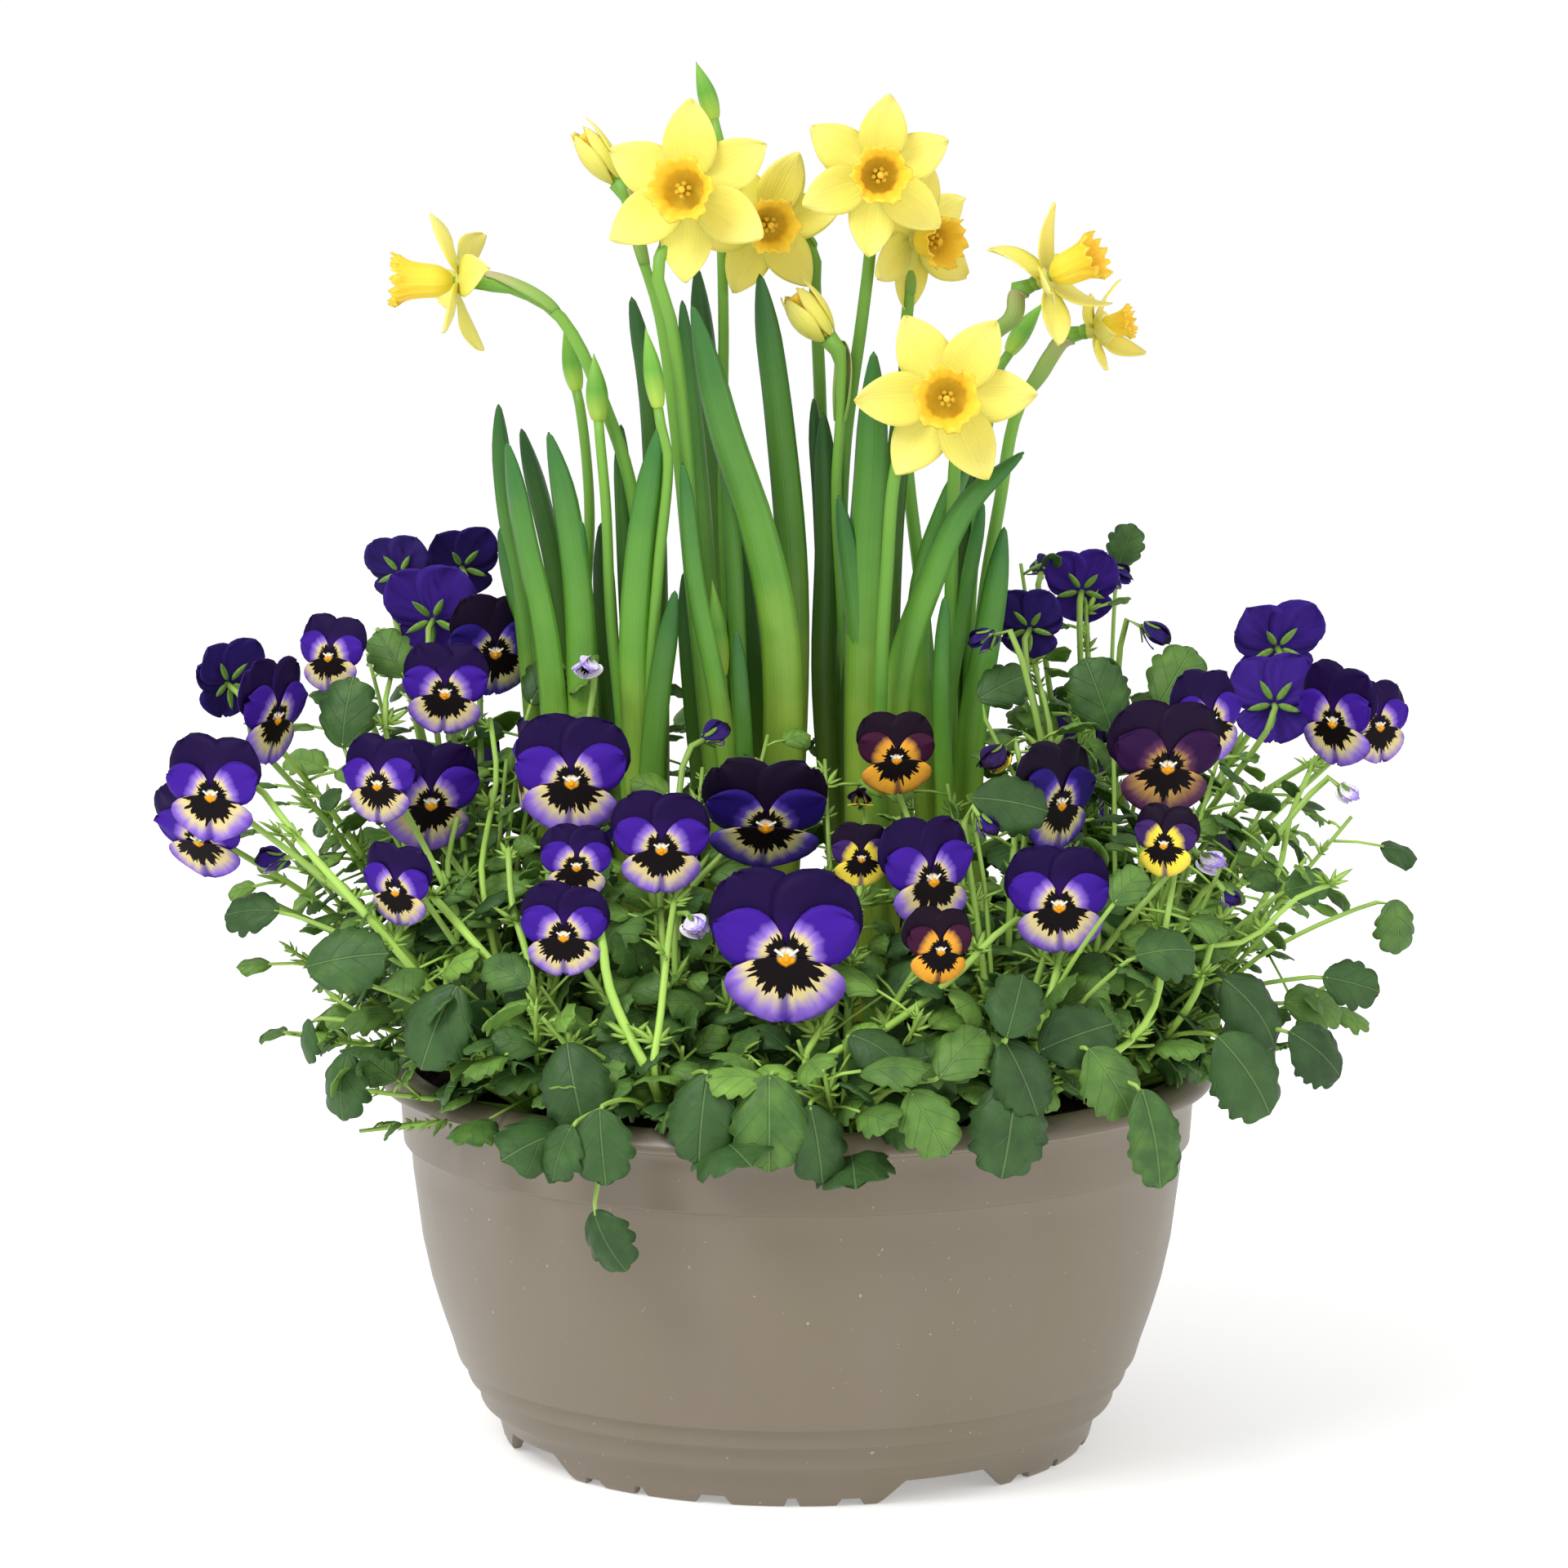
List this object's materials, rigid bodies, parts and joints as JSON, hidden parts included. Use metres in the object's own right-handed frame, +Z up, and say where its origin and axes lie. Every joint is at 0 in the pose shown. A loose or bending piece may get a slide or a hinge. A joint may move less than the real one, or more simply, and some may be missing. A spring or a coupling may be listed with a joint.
{
  "type": "potted pansy planter",
  "caption": "Spring bowl planter: small-flowered pansies round the edge and dwarf daffodils in the middle, growing in soil in a wide moulded plastic bowl on a notched foot ring.",
  "frame": {"origin": "centre of the foot ring, on the surface that the bowl stands on", "axes": "+Z up along the bowl's axis; -Y towards the front, where most of the blooms look; +X to the right as seen from the front"},
  "size_m": [0.4186, 0.322, 0.4614],
  "materials": {
    "bowl_plastic": "satin moulded taupe plastic",
    "potting_soil": "dark crumbly soil with fibres",
    "pansy_petal_violet": "velvety violet-blue petal",
    "pansy_petal_dark": "velvety near-black purple petal",
    "pansy_petal_golden": "velvety golden petal",
    "pansy_petal_amber": "velvety amber petal",
    "pansy_petal_maroon": "velvety maroon petal",
    "daffodil_petal": "thin pale yellow petal",
    "daffodil_trumpet": "thin deep yellow petal",
    "daffodil_green": "smooth leaf green",
    "pansy_green": "leaf green"
  },
  "bodies": {
    "root": {"planter_bowl": "bowl_plastic", "soil": "potting_soil", "pansy_bloom_01": "pansy_petal_violet", "pansy_bloom_02": "pansy_petal_violet", "pansy_bloom_03": "pansy_petal_violet", "pansy_bloom_04": "pansy_petal_dark", "pansy_bloom_05": "pansy_petal_violet", "pansy_bloom_06": "pansy_petal_violet", "pansy_bloom_07": "pansy_petal_violet", "pansy_bloom_08": "pansy_petal_violet", "pansy_bloom_09": "pansy_petal_violet", "pansy_bloom_10": "pansy_petal_violet", "pansy_bloom_11": "pansy_petal_violet", "pansy_bloom_12": "pansy_petal_violet", "pansy_bloom_13": "pansy_petal_violet", "pansy_bloom_14": "pansy_petal_dark", "pansy_bloom_15": "pansy_petal_golden", "pansy_bloom_16": "pansy_petal_amber", "pansy_bloom_17": "pansy_petal_violet", "pansy_bloom_18": "pansy_petal_amber", "pansy_bloom_19": "pansy_petal_dark", "pansy_bloom_20": "pansy_petal_violet", "pansy_bloom_21": "pansy_petal_maroon", "pansy_bloom_22": "pansy_petal_violet", "pansy_bloom_23": "pansy_petal_golden", "pansy_bloom_24": "pansy_petal_violet", "pansy_bloom_25": "pansy_petal_violet", "pansy_bloom_26": "pansy_petal_violet", "daffodil_petals_1": "daffodil_petal", "daffodil_trumpet_1": "daffodil_trumpet", "daffodil_petals_2": "daffodil_petal", "daffodil_trumpet_2": "daffodil_trumpet", "daffodil_petals_3": "daffodil_petal", "daffodil_trumpet_3": "daffodil_trumpet", "daffodil_petals_4": "daffodil_petal", "daffodil_trumpet_4": "daffodil_trumpet", "daffodil_petals_5": "daffodil_petal", "daffodil_trumpet_5": "daffodil_trumpet", "daffodil_petals_6": "daffodil_petal", "daffodil_trumpet_6": "daffodil_trumpet", "daffodil_petals_7": "daffodil_petal", "daffodil_trumpet_7": "daffodil_trumpet", "daffodil_petals_8": "daffodil_petal", "daffodil_trumpet_8": "daffodil_trumpet", "daffodil_half_open_bud_1": "daffodil_petal", "daffodil_half_open_bud_2": "daffodil_petal", "daffodil_clump_left": "daffodil_green", "daffodil_clump_middle_left": "daffodil_green", "daffodil_clump_middle": "daffodil_green", "daffodil_clump_middle_right": "daffodil_green", "daffodil_clump_right": "daffodil_green", "pansy_plant_front_left": "pansy_green", "pansy_plant_front_middle_left": "pansy_green", "pansy_plant_front_middle": "pansy_green", "pansy_plant_front_right": "pansy_green", "pansy_plant_right_front": "pansy_green", "pansy_plant_right_back": "pansy_green", "pansy_plant_back_right": "pansy_green", "pansy_plant_back_left": "pansy_green", "pansy_plant_left": "pansy_green"}
  },
  "joints": []
}
